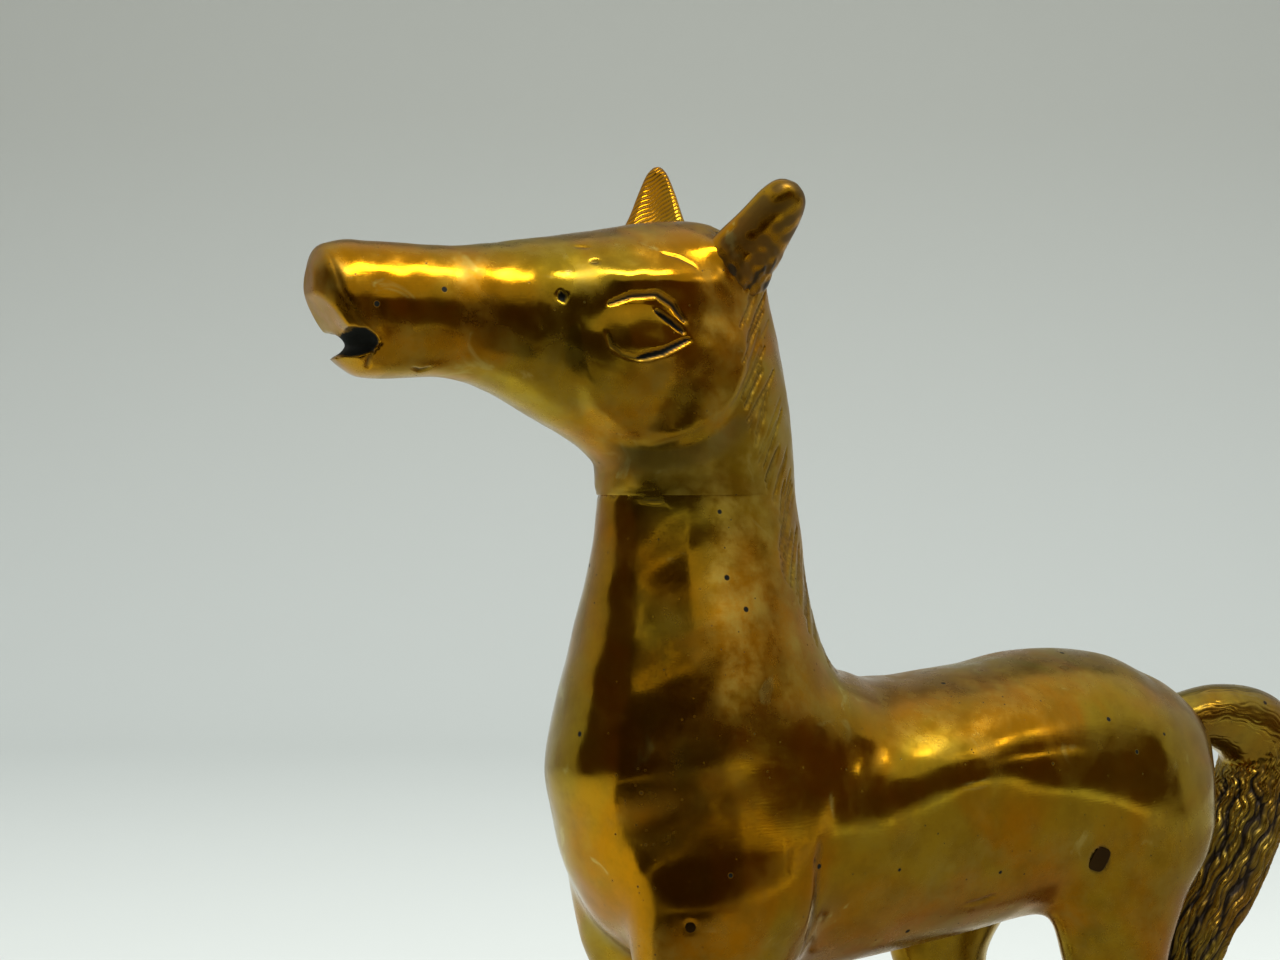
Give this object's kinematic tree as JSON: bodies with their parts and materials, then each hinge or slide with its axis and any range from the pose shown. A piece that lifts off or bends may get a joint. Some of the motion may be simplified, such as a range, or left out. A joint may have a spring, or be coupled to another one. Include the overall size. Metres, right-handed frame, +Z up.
{
  "type": "horse statue",
  "caption": "Small standing horse figure in cast polished brass, head held level, one hind leg forward, hollow body with brazed-on head, ears, legs and tail",
  "frame": {"origin": "on the ground under the middle of the statue's bounding box", "axes": "+X from the muzzle to the tail, so the horse faces -X; +Y to the horse's right side; +Z up"},
  "size_m": [0.1656, 0.0386, 0.1521],
  "materials": {
    "polished_brass": "worn mirror polish with a golden brown patina",
    "tail_brass": "rough cast hair strands, dark in the grooves, rubbed bright on the high spots",
    "plug_brass": "dark, nearly black, filed flush"
  },
  "bodies": {
    "root": {"body_casting": "polished_brass", "head_casting": "polished_brass", "left_ear": "polished_brass", "right_ear": "polished_brass", "left_foreleg": "polished_brass", "right_foreleg": "polished_brass", "left_hindleg": "polished_brass", "right_hindleg": "polished_brass", "tail": "tail_brass", "left_flank_plug": "plug_brass", "right_flank_plug": "plug_brass", "chest_plug": "plug_brass"}
  },
  "joints": []
}
